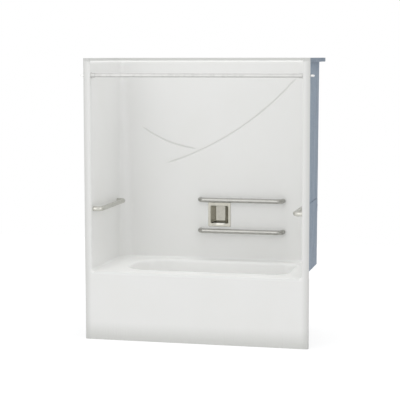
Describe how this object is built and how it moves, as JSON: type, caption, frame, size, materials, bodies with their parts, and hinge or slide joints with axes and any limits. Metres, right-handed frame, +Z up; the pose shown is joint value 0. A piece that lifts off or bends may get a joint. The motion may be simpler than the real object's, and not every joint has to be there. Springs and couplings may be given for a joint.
{
  "type": "tub and shower unit",
  "caption": "Alcove bath and shower in one white moulding with three walls, brushed grab bars, a curtain rod, a recessed soap dish and a trip-lever waste.",
  "frame": {"origin": "on the floor, at the middle of the unit's width and depth", "axes": "+Z up, the open front faces -Y, +X towards the drain end"},
  "size_m": [1.569, 0.7622, 1.886],
  "materials": {
    "white_gelcoat": "gloss",
    "blue_grey_resin": "rough glass fibre",
    "plywood": "raw",
    "brushed_steel": "brushed",
    "zinc_plate": "zinc plated",
    "satin_steel": "satin",
    "chrome": "polished",
    "brass": "plain",
    "black_plastic": "matte",
    "black_rubber": "matte"
  },
  "bodies": {
    "unit": {"apron_stiffener": "plywood", "back_wall_board": "plywood", "base_board": "plywood", "curtain_rod": "brushed_steel", "drain_flange": "chrome", "drain_gasket": "black_rubber", "floor_runner_1": "plywood", "floor_runner_2": "plywood", "floor_runner_3": "plywood", "head_nut": "brass", "left_bar": "brushed_steel", "left_bar_first_nut": "zinc_plate", "left_bar_last_nut": "zinc_plate", "left_cap_nut": "brushed_steel", "left_rod_block": "plywood", "left_rod_flange": "brushed_steel", "left_wall_plate": "zinc_plate", "lower_back_bar": "brushed_steel", "lower_back_bar_first_nut": "zinc_plate", "lower_back_bar_last_nut": "zinc_plate", "lower_plate_screw": "chrome", "overflow_gasket": "black_rubber", "overflow_head": "black_plastic", "overflow_plate": "chrome", "overflow_tube": "brass", "right_bar": "brushed_steel", "right_bar_first_nut": "zinc_plate", "right_bar_last_nut": "zinc_plate", "right_cap_nut": "brushed_steel", "right_rod_block": "plywood", "right_rod_flange": "brushed_steel", "right_wall_plate": "zinc_plate", "shoe_elbow": "black_plastic", "shoe_nut": "brass", "soap_dish": "satin_steel", "soap_dish_lip": "satin_steel", "surround_backing": "blue_grey_resin", "tee_side_nut": "brass", "tee_top_nut": "brass", "tub_backing": "blue_grey_resin", "tub_shell": "white_gelcoat", "upper_back_bar": "brushed_steel", "upper_back_bar_first_nut": "zinc_plate", "upper_back_bar_last_nut": "zinc_plate", "upper_plate_screw": "chrome", "wall_surround": "white_gelcoat", "waste_pipe": "brass", "waste_tee": "black_plastic"},
    "trip_lever": {"trip_lever": "chrome"},
    "plunger": {"linkage_rod": "brass", "plunger": "brass"}
  },
  "joints": [
    {"name": "trip_lever_hinge", "type": "hinge", "parent": "unit", "child": "trip_lever", "pos_m": [0.60118, 0.01085, 0.336], "axis": [0, 1, 0], "range_deg": [0, 60]},
    {"name": "plunger_slide", "type": "slide", "parent": "unit", "child": "plunger", "axis": [0, 0, -1], "range_m": [0, 0.0281]}
  ],
  "couplings": [
    {"joint": "plunger_slide", "follows": "trip_lever_hinge", "m_per_rad": 0.026738}
  ]
}
